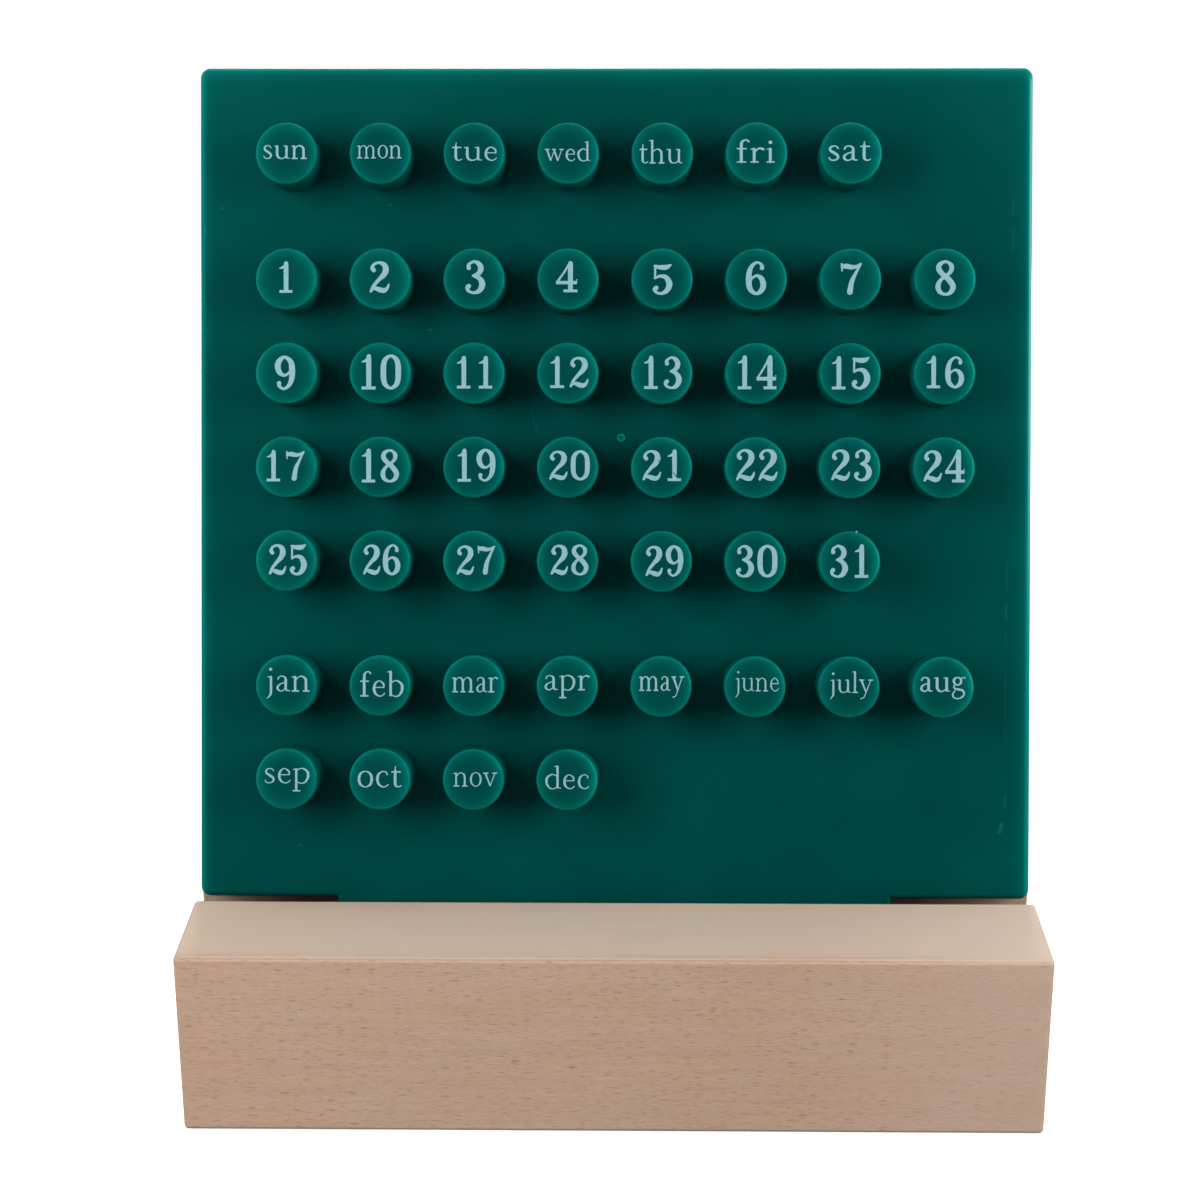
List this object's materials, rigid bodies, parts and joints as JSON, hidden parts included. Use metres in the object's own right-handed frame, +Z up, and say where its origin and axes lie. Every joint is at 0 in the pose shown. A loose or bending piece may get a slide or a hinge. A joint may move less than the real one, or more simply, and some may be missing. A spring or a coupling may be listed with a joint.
{
  "type": "perpetual desk calendar",
  "caption": "Perpetual desk calendar: a leaning peg board of round day, date and month pegs, lift-out, standing in the groove of a wooden block.",
  "frame": {"origin": "centre of the block's underside", "axes": "+Z up, -Y to the front, where the pegs face, +X to the viewer's right"},
  "size_m": [0.15, 0.0755, 0.1739],
  "materials": {
    "beech": "fine-sanded beech, unvarnished, short dark rays",
    "green_plastic": "translucent dark green moulded plastic, satin gloss, edges glow lighter",
    "pale_print": "pale blue-white print, matt"
  },
  "bodies": {
    "block": {"base_block": "beech"},
    "board": {"calendar_board": "green_plastic", "peg_sun": "green_plastic", "peg_mon": "green_plastic", "peg_tue": "green_plastic", "peg_wed": "green_plastic", "peg_thu": "green_plastic", "peg_fri": "green_plastic", "peg_sat": "green_plastic", "peg_01": "green_plastic", "peg_02": "green_plastic", "peg_03": "green_plastic", "peg_04": "green_plastic", "peg_05": "green_plastic", "peg_06": "green_plastic", "peg_07": "green_plastic", "peg_08": "green_plastic", "peg_09": "green_plastic", "peg_10": "green_plastic", "peg_11": "green_plastic", "peg_12": "green_plastic", "peg_13": "green_plastic", "peg_14": "green_plastic", "peg_15": "green_plastic", "peg_16": "green_plastic", "peg_17": "green_plastic", "peg_18": "green_plastic", "peg_19": "green_plastic", "peg_20": "green_plastic", "peg_21": "green_plastic", "peg_22": "green_plastic", "peg_23": "green_plastic", "peg_24": "green_plastic", "peg_25": "green_plastic", "peg_26": "green_plastic", "peg_27": "green_plastic", "peg_28": "green_plastic", "peg_29": "green_plastic", "peg_30": "green_plastic", "peg_31": "green_plastic", "peg_jan": "green_plastic", "peg_feb": "green_plastic", "peg_mar": "green_plastic", "peg_apr": "green_plastic", "peg_may": "green_plastic", "peg_june": "green_plastic", "peg_july": "green_plastic", "peg_aug": "green_plastic", "peg_sep": "green_plastic", "peg_oct": "green_plastic", "peg_nov": "green_plastic", "peg_dec": "green_plastic"}
  },
  "joints": [
    {"name": "board_lift", "type": "slide", "parent": "block", "child": "board", "axis": [0, 0.3156, 0.9489], "range_m": [0, 0.03]}
  ]
}
